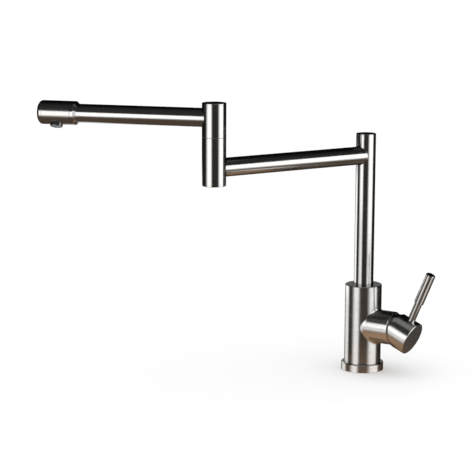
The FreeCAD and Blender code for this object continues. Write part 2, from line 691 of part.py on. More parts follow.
def knuckle_pieces():
    """Both halves of the knuckle, with the spindle and the bearing between them."""
    journal = knuckle_bore - SEAL_SECTION
    lower_end = knuckle_seam - KNUCKLE_SEAM_GAP / 2
    upper_start = knuckle_seam + KNUCKLE_SEAM_GAP / 2
    washer_start = upper_start - WASHER_THICKNESS
    washer_outer = knuckle_radius - WASHER_MARGIN
    stack_end = washer_start
    stack_start = stack_end - KNUCKLE_STACK_LENGTH
    lip_start = stack_start - KNUCKLE_LIP
    foot = knuckle_foot + KNUCKLE_CAP_THICKNESS
    crown = knuckle_top - KNUCKLE_CAP_THICKNESS

    lower = knuckle_axis.rod(knuckle_radius, foot, lower_end)
    lower = lower.cut([
        knuckle_axis.rod(knuckle_bore, foot - THROUGH, lip_start),
        knuckle_axis.rod(journal + LIP_CLEARANCE, foot, stack_end),
        knuckle_axis.rod(knuckle_bore, stack_start, stack_end),
        knuckle_axis.rod(washer_outer + SEAT_PLAY, washer_start, lower_end + THROUGH),
        lower_arm_axis.rod(arm_bore, LOWER_ARM_LENGTH - 2 * knuckle_radius, LOWER_ARM_LENGTH),
    ])
    first, last, seals, spacers = swivel_stack(
        knuckle_axis, journal, knuckle_bore, stack_start, stack_end, 2
    )
    washer = knuckle_axis.tube(washer_outer, journal + FREE_GAP, washer_start, upper_start)

    circlip_end = lip_start - END_PLAY
    circlip_start = circlip_end - CIRCLIP_THICKNESS
    groove_floor = journal - CIRCLIP_GROOVE_DEPTH
    spindle = knuckle_axis.rod(journal, circlip_start - SPINDLE_TAIL, upper_start)
    spindle = spindle.fuse(
        knuckle_axis.rod(knuckle_bore - SEAT_PLAY, upper_start, upper_start + SPINDLE_SEAT_LENGTH)
    )
    spindle_end = upper_start + SPINDLE_SEAT_LENGTH + THROUGH
    spindle = spindle.cut([
        knuckle_axis.rod(journal - SPINDLE_WALL, circlip_start - 2 * SPINDLE_TAIL, spindle_end),
        knuckle_axis.tube(2 * journal, groove_floor, circlip_start, circlip_end),
    ])
    circlip = split_ring(
        knuckle_axis,
        groove_floor + SEAT_PLAY,
        groove_floor + CIRCLIP_WIDTH,
        circlip_start,
        circlip_end,
        OUTWARD,
    )

    upper = knuckle_axis.tube(knuckle_radius, knuckle_bore, upper_start, crown)
    upper = upper.cut(upper_arm_axis.rod(arm_bore, 0, 2 * knuckle_radius))
    return {
        "knuckle_lower_barrel": lower,
        "knuckle_bottom_cap": round_cap(
            knuckle_axis, knuckle_radius, knuckle_bore, foot, knuckle_foot, KNUCKLE_BEVEL
        ),
        "knuckle_bush_lower": first,
        "knuckle_bush_upper": last,
        "knuckle_o_rings": Part.makeCompound(seals),
        "knuckle_spacer": Part.makeCompound(spacers),
        "knuckle_thrust_washer": washer,
        "pivot_spindle": spindle.removeSplitter(),
        "knuckle_circlip": circlip,
        "knuckle_upper_barrel": upper,
        "knuckle_top_cap": round_cap(
            knuckle_axis, knuckle_radius, knuckle_bore, crown, knuckle_top, KNUCKLE_BEVEL
        ),
    }


# ---- Places along the upper arm ----
head_start = UPPER_ARM_REACH - HEAD_LENGTH
collar_face = head_start - HEAD_SEAM_GAP
collar_bevel = head_radius - arm_radius
head_stack_bore = head_radius - HEAD_STACK_WALL
head_journal = head_stack_bore - SEAL_SECTION
head_stack_start = head_start + END_PLAY
head_stack_end = head_stack_start + HEAD_STACK_LENGTH
head_lip_end = head_stack_end + HEAD_LIP
head_circlip_start = head_lip_end + END_PLAY
head_circlip_end = head_circlip_start + CIRCLIP_THICKNESS
head_chamber = head_radius - HEAD_WALL
head_end_seat = UPPER_ARM_REACH - HEAD_END_THICKNESS


def upper_arm_pieces():
    """Upper arm tube, and the collar on its end with the journal that the head turns on."""
    arm_end = collar_face - ARM_SEAT_DEPTH
    arm = upper_arm_axis.tube(arm_radius, arm_bore, 0, arm_end)
    low = upper_arm_height - 2 * arm_radius
    high = upper_arm_height + 2 * arm_radius
    arm = arm.cut(knuckle_axis.rod(knuckle_radius + SEAT_PLAY, low, high))

    plain_start = collar_face - ARM_COLLAR_LENGTH
    journal_end = head_circlip_end + SPINDLE_TAIL
    groove_floor = head_journal - CIRCLIP_GROOVE_DEPTH
    collar = upper_arm_axis.rod(head_radius, plain_start, collar_face)
    collar = collar.fuse([
        upper_arm_axis.cone(arm_radius, head_radius, plain_start - collar_bevel, plain_start),
        upper_arm_axis.rod(head_journal, collar_face, journal_end),
    ])
    collar = collar.cut([
        upper_arm_axis.rod(arm_radius + SEAT_PLAY, plain_start - 2 * collar_bevel, arm_end),
        upper_arm_axis.rod(head_journal - JOURNAL_WALL, plain_start, journal_end + THROUGH),
        upper_arm_axis.tube(2 * head_journal, groove_floor, head_circlip_start, head_circlip_end),
    ])
    circlip = split_ring(
        upper_arm_axis,
        groove_floor + SEAT_PLAY,
        groove_floor + CIRCLIP_WIDTH,
        head_circlip_start,
        head_circlip_end,
        UP,
    )
    return {
        "upper_arm_tube": arm,
        "arm_collar": collar.removeSplitter(),
        "head_circlip": circlip,
    }


def head_pieces():
    """Spout head with its bearing and end, and the outlet with its aerator."""
    outlet_radius = OUTLET_DIAMETER / 2
    shell = upper_arm_axis.rod(head_radius, head_start, head_end_seat)
    shell = shell.cut([
        upper_arm_axis.rod(head_stack_bore, head_start - THROUGH, head_stack_end),
        upper_arm_axis.rod(head_journal + LIP_CLEARANCE, head_start, head_end_seat),
        upper_arm_axis.rod(head_chamber, head_lip_end, head_end_seat + THROUGH),
        outlet_axis.rod(outlet_radius + SEAT_PLAY, 0, 2 * head_radius),
    ])
    first, last, seals, _ = swivel_stack(
        upper_arm_axis, head_journal, head_stack_bore, head_stack_start, head_stack_end, 1
    )
    end = upper_arm_axis.rod(head_radius, head_end_seat, UPPER_ARM_REACH)
    rounding = min(HEAD_END_ROUND, HEAD_END_THICKNESS - END_PLAY)
    end = end.makeFillet(rounding, rims(end, upper_arm_axis, UPPER_ARM_REACH, head_radius))
    spigot_start = head_end_seat - CAP_SPIGOT_LENGTH
    spigot = upper_arm_axis.rod(head_chamber - SEAT_PLAY, spigot_start, head_end_seat)

    tip = head_radius + OUTLET_DROP
    root = head_chamber + END_PLAY
    bore = outlet_radius - OUTLET_WALL
    shoulder = root + OUTLET_SHOULDER
    collar = outlet_axis.rod(outlet_radius, root, tip)
    collar = collar.makeChamfer(OUTLET_BEVEL, rims(collar, outlet_axis, tip, outlet_radius))
    collar = collar.cut([
        outlet_axis.rod(bore - OUTLET_LEDGE, root - THROUGH, tip + THROUGH),
        outlet_axis.rod(bore, shoulder, tip + THROUGH),
    ])

    aerator_radius = bore - SEAT_PLAY
    screen_start = shoulder + AERATOR_GASKET
    cage_start = screen_start + AERATOR_SCREEN
    cage_end = tip - AERATOR_RECESS
    plate_start = cage_end - AERATOR_PLATE
    gasket = outlet_axis.tube(aerator_radius, bore - OUTLET_LEDGE, shoulder, screen_start)
    screen = outlet_axis.rod(aerator_radius, screen_start, cage_start)
    cage = outlet_axis.rod(aerator_radius, cage_start, cage_end)
    cage = cage.cut(
        outlet_axis.rod(aerator_radius - AERATOR_WALL, cage_start - THROUGH, plate_start)
    )
    for circle_radius, count in AERATOR_HOLE_CIRCLES:
        for index in range(count):
            angle = 2 * math.pi * index / count
            offset = (
                upper_arm_axis.direction * (circle_radius * math.cos(angle))
                + outlet_axis.direction.cross(upper_arm_axis.direction)
                * (circle_radius * math.sin(angle))
            )
            hole = outlet_axis.beside(offset)
            cage = cage.cut(hole.rod(AERATOR_HOLE / 2, cage_start, cage_end + THROUGH))
    return {
        "head_shell": shell,
        "head_end_cap": end.fuse(spigot).removeSplitter(),
        "head_bush_front": first,
        "head_bush_rear": last,
        "head_o_ring": seals[0],
        "outlet_collar": collar,
        "aerator_gasket": gasket,
        "aerator_screen": screen,
        "aerator_cage": cage,
    }


pieces = {}
for build_group in (
    base_pieces,
    body_shell,
    fixed_cartridge_pieces,
    carrier_pieces,
    disc_pieces,
    handle_pieces,
    base_swivel_pieces,
    riser_pieces,
    knuckle_pieces,
    upper_arm_pieces,
    head_pieces,
):
    pieces.update(build_group())

os.makedirs("parts", exist_ok=True)
for node, shape in pieces.items():
    shape.exportStep(f"parts/{node}.step")
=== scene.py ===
"""Looks of a deck-mounted kitchen tap with a folding spout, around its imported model.

The file is laid out as an add-on and run as a script. Lengths are in metres, in the model's own
frame: the origin is the middle of the flange's underside, +Z is up and +X runs along the valve
housing towards the handle.
"""

import collections
import json
import math

import bpy
from mathutils import Matrix, Vector


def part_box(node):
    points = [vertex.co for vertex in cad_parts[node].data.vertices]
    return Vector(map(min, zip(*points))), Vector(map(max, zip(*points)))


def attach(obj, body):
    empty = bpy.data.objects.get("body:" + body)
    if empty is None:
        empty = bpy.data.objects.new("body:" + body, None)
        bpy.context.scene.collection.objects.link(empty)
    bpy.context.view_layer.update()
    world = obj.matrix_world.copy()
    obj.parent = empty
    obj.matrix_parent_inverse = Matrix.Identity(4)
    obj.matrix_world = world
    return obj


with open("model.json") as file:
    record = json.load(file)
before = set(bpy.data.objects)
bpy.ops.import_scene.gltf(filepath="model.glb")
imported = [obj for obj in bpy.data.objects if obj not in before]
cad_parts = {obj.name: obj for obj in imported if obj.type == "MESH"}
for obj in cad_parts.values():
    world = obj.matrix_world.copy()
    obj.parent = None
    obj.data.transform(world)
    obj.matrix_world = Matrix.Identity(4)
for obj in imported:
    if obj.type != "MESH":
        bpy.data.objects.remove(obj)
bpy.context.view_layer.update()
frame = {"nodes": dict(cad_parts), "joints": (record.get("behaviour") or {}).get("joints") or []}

bl_info = {
    "name": "Folding Spout Tap Looks",
    "version": (1, 0, 0),
    "blender": (4, 5, 0),
    "location": "3D View > Sidebar > Tap",
    "description": "Gives a folding-spout kitchen tap its finishes, welds and studio",
    "category": "Object",
}

MM = 0.001
UP = Vector((0, 0, 1))
ARC_STEPS = 96  # sides of a full circle in the meshes made here
FILLET_STEPS = 6  # sides of a fillet's hollow face
SINK = 0.03 * MM  # how far a fillet's edges are let into the metal
SHARP_ANGLE = math.radians(35)  # edges that turn more than this stay crisp


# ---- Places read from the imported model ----
Axis = collections.namedtuple("Axis", "point direction")
joints = {joint["name"]: joint for joint in frame["joints"]}


def middle(node):
    low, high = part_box(node)
    return (low + high) / 2


def width(node):
    low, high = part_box(node)
    return high.x - low.x


def mean_point(node):
    points = [vertex.co for vertex in frame["nodes"][node].data.vertices]
    return sum(points, Vector()) / len(points)


def level(vector):
    return Vector((vector.x, vector.y, 0)).normalized()


def reach_about(node, axis, beyond):
    """The node's largest distance from an axis, among its points further along it than beyond."""
    reach = 0.0
    for vertex in frame["nodes"][node].data.vertices:
        offset = vertex.co - axis.point
        along = offset.dot(axis.direction)
        if along > beyond:
            reach = max(reach, (offset - axis.direction * along).length)
    return reach


pivot = Vector(joints["temperature_turn"]["pos_m"])
elbow = Vector(joints["elbow_swivel"]["pos_m"])
open_angle = -math.radians(joints["handle_lift"]["range_deg"][0])
outlet_middle = Vector(joints["outlet_swivel"]["pos_m"])
lower_arm_height = middle("lower_arm_tube").z

tap_axis = Axis(Vector((0, 0, 0)), UP)
housing_axis = Axis(Vector((0, 0, pivot.z)), Vector((1, 0, 0)))
handle_axis = Axis(pivot, Vector((math.cos(open_angle), 0, -math.sin(open_angle))))
lever_axis = Axis(middle("lever_grip"), Vector((math.sin(open_angle), 0, math.cos(open_angle))))
lower_arm_axis = Axis(Vector((0, 0, lower_arm_height)), level(elbow))
knuckle_axis = Axis(elbow, UP)
upper_arm_axis = Axis(outlet_middle, Vector(joints["outlet_swivel"]["axis"]).normalized())
outlet_axis = Axis(outlet_middle, (mean_point("outlet_collar") - outlet_middle).normalized())

body_radius = width("base_flange") / 2 - (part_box("body_shell")[0].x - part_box("base_flange")[0].x)
housing_radius = reach_about("body_shell", housing_axis, body_radius + MM)
riser_radius = width("riser_top_cap") / 2
knuckle_radius = width("knuckle_top_cap") / 2
arm_low, arm_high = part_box("lower_arm_tube")
arm_radius = (arm_high.z - arm_low.z) / 2


# ---- Sizes and colours that a user would change ----
class TapFinishes(bpy.types.PropertyGroup):
    """Colours and polish of the tap's materials."""

    steel_colour: bpy.props.FloatVectorProperty(
        name="Steel colour", description="Colour of the brushed steel",
        subtype="COLOR", default=(0.63, 0.62, 0.605), min=0, max=1,
    )
    brass_colour: bpy.props.FloatVectorProperty(
        name="Brass colour", description="Colour of the turned brass pieces",
        subtype="COLOR", default=(0.72, 0.55, 0.27), min=0, max=1,
    )
    chrome_colour: bpy.props.FloatVectorProperty(
        name="Chrome colour", description="Colour of the plated outlet",
        subtype="COLOR", default=(0.80, 0.80, 0.82), min=0, max=1,
    )
    tube_roughness: bpy.props.FloatProperty(
        name="Tube roughness", description="Roughness of the riser, the arms and the lever",
        subtype="FACTOR", default=0.15, min=0, max=1,
    )
    body_roughness: bpy.props.FloatProperty(
        name="Body roughness", description="Roughness of the body, the flange and the handle",
        subtype="FACTOR", default=0.20, min=0, max=1,
    )
    line_spacing: bpy.props.FloatProperty(
        name="Brushing pitch", description="Distance between the brushed lines",
        unit="LENGTH", default=0.35 * MM, min=0.05 * MM, max=5 * MM,
    )
    # The width also sets the band of painted highlight along each metal edge.
    edge_width: bpy.props.FloatProperty(
        name="Edge width", description="Width of the softened, worn line on each metal edge",
        unit="LENGTH", default=0.25 * MM, min=0, max=5 * MM,
    )


class TapWelds(bpy.types.PropertyGroup):
    """Sizes of the smooth hollows where tubes meet."""

    riser_leg: bpy.props.FloatProperty(
        name="Riser weld", description="Leg of the weld hollow where the lower arm meets the riser",
        unit="LENGTH", default=1.2 * MM, min=0.1 * MM, max=5 * MM,
    )
    knuckle_leg: bpy.props.FloatProperty(
        name="Knuckle weld", description="Leg of the weld hollows where the arms meet the knuckle",
        unit="LENGTH", default=0.8 * MM, min=0.1 * MM, max=5 * MM,
    )
    housing_leg: bpy.props.FloatProperty(
        name="Housing weld", description="Leg of the hollow where the valve housing meets the body",
        unit="LENGTH", default=2.6 * MM, min=0.1 * MM, max=5 * MM,
    )


class TapStudio(bpy.types.PropertyGroup):
    """Camera, lamps and cards of the studio."""

    camera_place: bpy.props.FloatVectorProperty(
        name="Camera place", description="Where the camera stands",
        subtype="TRANSLATION", unit="LENGTH", default=(1.015, -1.826, 0.542),
    )
    camera_turn: bpy.props.FloatProperty(
        name="Camera turn", description="Turn of the view to the left of +Y",
        subtype="ANGLE", default=math.radians(33.35),
    )
    camera_dip: bpy.props.FloatProperty(
        name="Camera dip", description="Tilt of the view below the horizon",
        subtype="ANGLE", default=math.radians(10.26),
    )
    camera_roll: bpy.props.FloatProperty(
        name="Camera roll", description="Roll of the camera about its view",
        subtype="ANGLE", default=math.radians(0.25),
    )
    focal_length: bpy.props.FloatProperty(
        name="Focal length", description="Focal length in millimetres on a 36 mm wide sensor",
        default=131.3, min=10,
    )
    ambient: bpy.props.FloatProperty(
        name="Ambient light", description="Strength of the even light from all round",
        default=0.6, min=0,
    )
    top_strength: bpy.props.FloatProperty(
        name="Top light", description="Strength of the soft light from above",
        default=1.4, min=0,
    )
    panel_strength: bpy.props.FloatProperty(
        name="Panel strength", description="Brightness of the reflector panels seen in the metal",
        default=1.75, min=0,
    )
    board_colour: bpy.props.FloatVectorProperty(
        name="Board colour", description="Colour of the board that the undersides mirror",
        subtype="COLOR", default=(0.10, 0.072, 0.052), min=0, max=1,
    )


def settings():
    scene = bpy.context.scene
    return scene.tap_finishes, scene.tap_welds, scene.tap_studio


# ---- Node trees ----
def add(tree, kind, values=None, **options):
    """A node with its options set, and its inputs set to values or linked to sockets."""
    node = tree.nodes.new(kind)
    for option, setting in options.items():
        setattr(node, option, setting)
    for key, value in (values or {}).items():
        if isinstance(value, bpy.types.NodeSocket):
            tree.links.new(value, node.inputs[key])
        else:
            node.inputs[key].default_value = value
    return node


def maths(tree, operation, first, second=0.0, third=0.0):
    node = add(tree, "ShaderNodeMath", {0: first, 1: second, 2: third}, operation=operation)
    return node.outputs[0]


def vectors(tree, operation, first, second=(0, 0, 0)):
    node = add(tree, "ShaderNodeVectorMath", {0: first, 1: second}, operation=operation)
    return node.outputs["Value" if operation in ("DOT_PRODUCT", "LENGTH") else "Vector"]


def lengthened(tree, vector, factor):
    inputs = {0: vector, "Scale": factor}
    return add(tree, "ShaderNodeVectorMath", inputs, operation="SCALE").outputs["Vector"]


def spread(tree, value, low, high, new_low, new_high, smooth=False):
    """The value moved from one span to another, held within the new one."""
    kind = "SMOOTHSTEP" if smooth else "LINEAR"
    inputs = {"Value": value, "From Min": low, "From Max": high,
              "To Min": new_low, "To Max": new_high}
    return add(tree, "ShaderNodeMapRange", inputs, interpolation_type=kind).outputs["Result"]


def blend(tree, share, first, second):
    """A colour between two colours."""
    node = add(tree, "ShaderNodeMix", {0: share}, data_type="RGBA")
    for socket, value in ((node.inputs[6], first), (node.inputs[7], second)):
        if isinstance(value, bpy.types.NodeSocket):
            tree.links.new(value, socket)
        else:
            socket.default_value = (*value[:3], 1)
    return node.outputs[2]


def new_group(name, inputs, outputs):
    """A shader node group with named sockets, and the nodes at its two ends."""
    group = bpy.data.node_groups.new(name, "ShaderNodeTree")
    for socket, kind, value in inputs:
        made = group.interface.new_socket(socket, in_out="INPUT", socket_type=kind)
        made.default_value = value
    for socket, kind in outputs:
        group.interface.new_socket(socket, in_out="OUTPUT", socket_type=kind)
    return group, group.nodes.new("NodeGroupInput"), group.nodes.new("NodeGroupOutput")


def once(build):
    """A group is built the first time that it is asked for, and shared after that."""
    def shared():
        return bpy.data.node_groups.get(build.__name__) or build(build.__name__)
    return shared


RING_STRETCH = 1.37  # how much closer the rings on an end lie than the lines on a side
BAND_SCALE = 0.11  # how often the broad bands come, for each fine line


@once
def brushed_lines(name):
    """Fine lines brushed round an axis, which turn into rings on the ends."""
    group, start, end = new_group(
        name,
        [
            ("Axis Point", "NodeSocketVector", (0, 0, 0)),
            ("Axis Direction", "NodeSocketVector", (0, 0, 1)),
            ("Pitch", "NodeSocketFloat", 0.35 * MM),
            ("Breaks", "NodeSocketFloat", 3.0),
        ],
        [("Lines", "NodeSocketFloat"), ("Bands", "NodeSocketFloat")],
    )
    place = add(group, "ShaderNodeTexCoord").outputs["Object"]
    offset = vectors(group, "SUBTRACT", place, start.outputs["Axis Point"])
    direction = start.outputs["Axis Direction"]
    along = vectors(group, "DOT_PRODUCT", offset, direction)
    outward = vectors(group, "SUBTRACT", offset, lengthened(group, direction, along))
    radius = vectors(group, "LENGTH", outward)
    around = vectors(group, "NORMALIZE", outward)

    # Lines follow the distance along the axis on the sides, and from the axis on the ends.
    ring = maths(group, "MULTIPLY_ADD", radius, RING_STRETCH, along)
    turns = maths(group, "DIVIDE", ring, start.outputs["Pitch"])
    stacked = lengthened(group, direction, turns)
    circled = lengthened(group, around, start.outputs["Breaks"])
    spot = vectors(group, "ADD", stacked, circled)
    lines = add(group, "ShaderNodeTexNoise",
                {"Vector": spot, "Scale": 1.0, "Detail": 3.0, "Roughness": 0.65})
    coarse = add(group, "ShaderNodeTexNoise",
                 {"Vector": spot, "Scale": BAND_SCALE, "Detail": 1.0, "Roughness": 0.5})
    group.links.new(lines.outputs["Fac"], end.inputs["Lines"])
    group.links.new(coarse.outputs["Fac"], end.inputs["Bands"])
    return group


SPECK_SCALE = 18.0  # how many specks come across one cloudy patch


@once
def handling_marks(name):
    """Cloudy patches, as wiping and handling leave on metal, rubber and plastic."""
    group, start, end = new_group(
        name,
        [("Patch Size", "NodeSocketFloat", 12 * MM)],
        [("Clouds", "NodeSocketFloat"), ("Specks", "NodeSocketFloat")],
    )
    place = add(group, "ShaderNodeTexCoord").outputs["Object"]
    frequency = maths(group, "DIVIDE", 1.0, start.outputs["Patch Size"])
    clouds = add(group, "ShaderNodeTexNoise",
                 {"Vector": place, "Scale": frequency, "Detail": 4.0, "Roughness": 0.6})
    finer = maths(group, "MULTIPLY", frequency, SPECK_SCALE)
    specks = add(group, "ShaderNodeTexNoise",
                 {"Vector": place, "Scale": finer, "Detail": 2.0, "Roughness": 0.7})
    group.links.new(spread(group, clouds.outputs["Fac"], 0.3, 0.7, 0, 1), end.inputs["Clouds"])
    group.links.new(specks.outputs["Fac"], end.inputs["Specks"])
    return group


@once
def softened_edges(name):
    """Edges rounded over a small width, and a mask of where they are."""
    group, start, end = new_group(
        name,
        [("Width", "NodeSocketFloat", 0.25 * MM)],
        [("Edges", "NodeSocketFloat"), ("Normal", "NodeSocketVector")],
    )
    rounded = add(group, "ShaderNodeBevel", {"Radius": start.outputs["Width"]}, samples=4)
    flat = add(group, "ShaderNodeNewGeometry").outputs["Normal"]
    likeness = vectors(group, "DOT_PRODUCT", rounded.outputs["Normal"], flat)
    group.links.new(spread(group, likeness, 0.999, 0.93, 0, 1), end.inputs["Edges"])
    group.links.new(rounded.outputs["Normal"], end.inputs["Normal"])
    return group


def place_group(tree, group, values=None):
    return add(tree, "ShaderNodeGroup", values, node_tree=group)


def new_material(name):
    """A material with a bare Principled shader."""
    material = bpy.data.materials.new(name)
    material.use_nodes = True
    tree = material.node_tree
    return material, tree, tree.nodes["Principled BSDF"]


def scaled(colour, share):
    return tuple(min(1.0, channel * share) for channel in colour[:3])


# ---- Metal finishes ----
Polish = collections.namedtuple("Polish", "colour roughness depth contrast breaks")
RIM_SHINE = 0.45  # share of the mirror that brushed metal keeps where it is seen edge on
LINE_SHARE = 0.4  # part of the tone that the fine lines give; the broad bands give the rest
ROUGHNESS_SPAN = 0.2  # how far the roughness swings with the lines
WIPED = (0.9, 1.15)  # roughness of wiped and of handled patches, as shares
EDGE_HIGHLIGHT_TONE = 1.12  # brightness of the painted highlight on an edge
EDGE_HIGHLIGHT_SHARE = 0.6  # how much of that tone shows

# Brightness of the steel on each group of pieces. The body, the handle and the head are one steel
# given painted light: the body and the handle painted brighter, the head painted darker. The seam is
# the darker colour of the brazed seams.
BODY_PAINTED_LIGHT = 1.17
HANDLE_PAINTED_LIGHT = 1.06
HEAD_PAINTED_SHADE = 0.95
SEAM_TONE = 0.35


def satin(finishes, tone):
    """The soft polish of the body and the handle, its colour scaled by a tone that is painted light.
    """
    return Polish(scaled(finishes.steel_colour, tone), finishes.body_roughness,
                  0.014 * MM, 0.04, 2.5)


def bright(finishes):
    """The sharper polish of the tubes and the lever."""
    return Polish(finishes.steel_colour, finishes.tube_roughness, 0.008 * MM, 0.035, 2.0)


def metal(name, polish, axis):
    """Metal brushed or turned round an axis, with softened edges that carry a painted highlight, and
    wiped patches.
    """
    finishes, _, _ = settings()
    material, tree, shader = new_material(name)
    lines = place_group(tree, brushed_lines(), {
        "Axis Point": axis.point,
        "Axis Direction": axis.direction,
        "Pitch": finishes.line_spacing,
        "Breaks": polish.breaks,
    })
    marks = place_group(tree, handling_marks())
    edges = place_group(tree, softened_edges(), {"Width": finishes.edge_width})

    tone = maths(tree, "MULTIPLY_ADD", lines.outputs["Bands"], 1 - LINE_SHARE,
                 maths(tree, "MULTIPLY", lines.outputs["Lines"], LINE_SHARE))
    share = spread(tree, tone, 0.35, 0.65, 0, 1)
    dark = scaled(polish.colour, 1 - polish.contrast)
    light = scaled(polish.colour, 1 + polish.contrast)
    brushed = blend(tree, share, dark, light)
    # A painted highlight brightens the colour along every softened edge.
    highlit = scaled(polish.colour, EDGE_HIGHLIGHT_TONE)
    edge_highlight_share = maths(tree, "MULTIPLY", edges.outputs["Edges"], EDGE_HIGHLIGHT_SHARE)
    tree.links.new(blend(tree, edge_highlight_share, brushed, highlit), shader.inputs["Base Color"])

    rough_lines = spread(
        tree, lines.outputs["Lines"], 0.3, 0.7,
        polish.roughness * (1 - ROUGHNESS_SPAN), polish.roughness * (1 + ROUGHNESS_SPAN),
    )
    wiped = spread(tree, marks.outputs["Clouds"], 0, 1, *WIPED)
    tree.links.new(maths(tree, "MULTIPLY", rough_lines, wiped), shader.inputs["Roughness"])
    shader.inputs["Metallic"].default_value = 1.0
    shader.inputs["Specular Tint"].default_value = (*(RIM_SHINE,) * 3, 1)

    grooves = add(tree, "ShaderNodeBump", {
        "Strength": 1.0,
        "Distance": polish.depth,
        "Height": lines.outputs["Lines"],
        "Normal": edges.outputs["Normal"],
    })
    tree.links.new(grooves.outputs["Normal"], shader.inputs["Normal"])
    return material


# ---- Rubber, plastic and ceramic ----
Moulding = collections.namedtuple("Moulding", "colour roughness grain depth")
SPECKLE_SPAN = 0.18  # how far the colour swings with the specks
SHEEN_SPAN = 0.15  # how far the roughness swings with the cloudy patches


def moulded(name, moulding):
    """A moulded or fired surface with a fine speckle."""
    material, tree, shader = new_material(name)
    marks = place_group(tree, handling_marks(), {"Patch Size": moulding.grain})
    speckle = blend(tree, marks.outputs["Specks"],
                    scaled(moulding.colour, 1 - SPECKLE_SPAN),
                    scaled(moulding.colour, 1 + SPECKLE_SPAN))
    tree.links.new(speckle, shader.inputs["Base Color"])
    tree.links.new(
        spread(tree, marks.outputs["Clouds"], 0, 1,
               moulding.roughness * (1 - SHEEN_SPAN), moulding.roughness * (1 + SHEEN_SPAN)),
        shader.inputs["Roughness"],
    )
    skin = add(tree, "ShaderNodeBump", {
        "Strength": 0.6,
        "Distance": moulding.depth,
        "Height": marks.outputs["Specks"],
    })
    tree.links.new(skin.outputs["Normal"], shader.inputs["Normal"])
    return material


def dress(material, *nodes):
    """Gives CAD nodes a material."""
    for node in nodes:
        mesh = frame["nodes"][node].data
        mesh.materials.clear()
        mesh.materials.append(material)


# ---- Pieces made here ----
def new_piece(name, points, faces, material, body, slot):
    """A smooth closed mesh with its sharp edges kept, riding on a body."""
    mesh = bpy.data.meshes.new(name)
    mesh.from_pydata(points, [], faces)
    mesh.update()
    mesh.shade_smooth()
    mesh.set_sharp_from_angle(angle=SHARP_ANGLE)
    mesh.materials.append(material)
    piece = bpy.data.objects.new(name, mesh)
    bpy.context.scene.collection.objects.link(piece)
    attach(piece, body)
    return piece


def curve_between(first, corner, last, steps):
    """Points on a hollow curve that starts and ends along the two sides of a corner."""
    points = []
    for step in range(steps + 1):
        share = step / steps
        points.append(
            first * (1 - share) ** 2 + corner * 2 * share * (1 - share) + last * share ** 2
        )
    return points


def saddle_fillet(name, main, main_radius, branch, branch_radius, leg, dressing):
    """A hollow fillet round the seam where a branch tube meets a main tube at right angles."""
    across = main.direction.cross(branch.direction)
    along = branch.direction
    upright = main.direction
    rings = []
    for step in range(ARC_STEPS):
        angle = 2 * math.pi * step / ARC_STEPS
        side = branch_radius * math.cos(angle)
        rise = branch_radius * math.sin(angle)
        depth = math.sqrt(main_radius ** 2 - side ** 2)
        rim = across * side + upright * rise
        corner = branch.point + along * depth + rim
        root = branch.point + along * (depth - leg) + rim * (1 - leg / branch_radius)
        on_branch = corner + along * leg - rim * (SINK / branch_radius)

        # On the main tube the fillet's edge is set off from the seam, square to it.
        outward = Vector((side, rise * main_radius / depth)).normalized()
        turn = math.asin(side / main_radius) + outward.x * leg / main_radius
        on_main = (
            branch.point
            + (along * math.cos(turn) + across * math.sin(turn)) * (main_radius - SINK)
            + upright * (rise + outward.y * leg)
        )
        rings.append(curve_between(on_branch, corner, on_main, FILLET_STEPS) + [root])
    return new_piece(name, *closed_loft(rings), *dressing)


def closed_loft(rings):
    """Points and faces of rings joined one after another and back to the first."""
    size = len(rings[0])
    points = [point for ring in rings for point in ring]
    faces = []
    for index in range(len(rings)):
        here = index * size
        there = (index + 1) % len(rings) * size
        for step in range(size):
            following = (step + 1) % size
            faces.append((here + step, here + following, there + following, there + step))
    return points, faces


class TAP_OT_finish_body(bpy.types.Operator):
    """Gives the body, its flange, its top ring and the dome their brushed steel"""

    bl_idname = "tap.finish_body"
    bl_label = "Finish Body"

    def execute(self, context):
        # The body's steel is painted brighter, as painted light.
        polish = satin(context.scene.tap_finishes, BODY_PAINTED_LIGHT)
        dress(metal("satin_steel_body", polish, tap_axis),
              "body_shell", "base_flange", "body_top_ring")
        dress(metal("satin_steel_dome", polish, housing_axis), "dome_cover")
        return {"FINISHED"}


class TAP_OT_finish_handle(bpy.types.Operator):
    """Gives the handle cap and the lever their brushed steel"""

    bl_idname = "tap.finish_handle"
    bl_label = "Finish Handle"

    def execute(self, context):
        finishes = context.scene.tap_finishes
        # The handle's steel is painted brighter, as painted light.
        dress(metal("satin_steel_handle", satin(finishes, HANDLE_PAINTED_LIGHT), handle_axis),
              "handle_cap")
        dress(metal("brushed_steel_lever", bright(finishes), lever_axis),
              "lever_rod", "lever_grip")
        return {"FINISHED"}


class TAP_OT_finish_spout(bpy.types.Operator):
    """Gives the riser, arms, knuckle and spout head their brushed steel, and plates the outlet"""

    bl_idname = "tap.finish_spout"
    bl_label = "Finish Spout"

    def execute(self, context):
        finishes = context.scene.tap_finishes
        tubes = bright(finishes)
        # The head's steel is painted darker, as painted shade.
        head = tubes._replace(colour=scaled(finishes.steel_colour, HEAD_PAINTED_SHADE),
                              roughness=finishes.body_roughness)
        plated = Polish(finishes.chrome_colour, 0.06, 0.001 * MM, 0.02, 2.0)
        dress(metal("brushed_steel_riser", tubes, tap_axis), "riser_tube", "riser_top_cap")
        dress(metal("brushed_steel_lower_arm", tubes, lower_arm_axis), "lower_arm_tube")
        dress(metal("brushed_steel_knuckle", tubes, knuckle_axis),
              "knuckle_lower_barrel", "knuckle_bottom_cap", "knuckle_upper_barrel",
              "knuckle_top_cap")
        dress(metal("brushed_steel_upper_arm", tubes, upper_arm_axis),
              "upper_arm_tube", "arm_collar")
        dress(metal("satin_steel_head", head, upper_arm_axis), "head_shell", "head_end_cap")
        dress(metal("bright_chrome_outlet", plated, outlet_axis), "outlet_collar")
        return {"FINISHED"}


